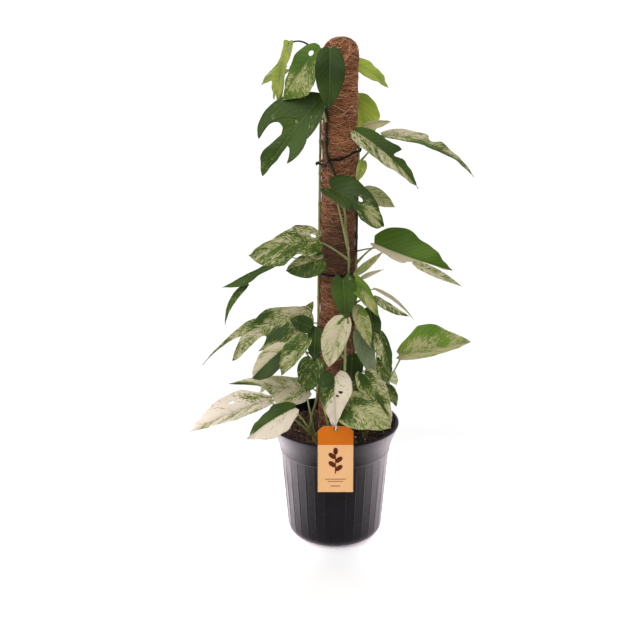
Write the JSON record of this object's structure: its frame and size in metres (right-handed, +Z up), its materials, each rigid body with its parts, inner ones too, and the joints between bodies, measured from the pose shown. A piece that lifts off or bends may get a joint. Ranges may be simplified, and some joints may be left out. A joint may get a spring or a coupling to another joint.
{
  "type": "potted climbing pothos",
  "caption": "Marbled pothos climbing a coir-covered pole in a round black fluted nursery pot, with black ties and a plain hanging card tag.",
  "frame": {"origin": "centre of the flat underside of the pot, on the ground", "axes": "+Z up along the pole; -Y is the front, the side the tag hangs on; +X is to the right seen from the front"},
  "size_m": [0.4081, 0.2668, 0.7533],
  "materials": {
    "pot_plastic": "satin black moulded plastic with low flutes",
    "soil": "damp dark peat and bark with white grit",
    "stake_wood": "plain turned softwood",
    "coir": "wound reddish brown coconut fibre",
    "foliage": "smooth green leaves marbled with cream",
    "tie_plastic": "black soft plastic",
    "tag_card": "coated card, orange header over a cream field",
    "string": "white twisted cotton"
  },
  "bodies": {
    "root": {"pot": "pot_plastic", "soil": "soil", "stake": "stake_wood", "coir_sleeve": "coir", "vine_left": "foliage", "vine_front": "foliage", "vine_right": "foliage", "vine_back": "foliage", "cutting_left": "foliage", "cutting_front": "foliage", "cutting_right": "foliage", "cutting_back": "foliage", "tie_upper": "tie_plastic", "tie_lower": "tie_plastic", "tag": "tag_card", "tag_string": "string"}
  },
  "joints": []
}
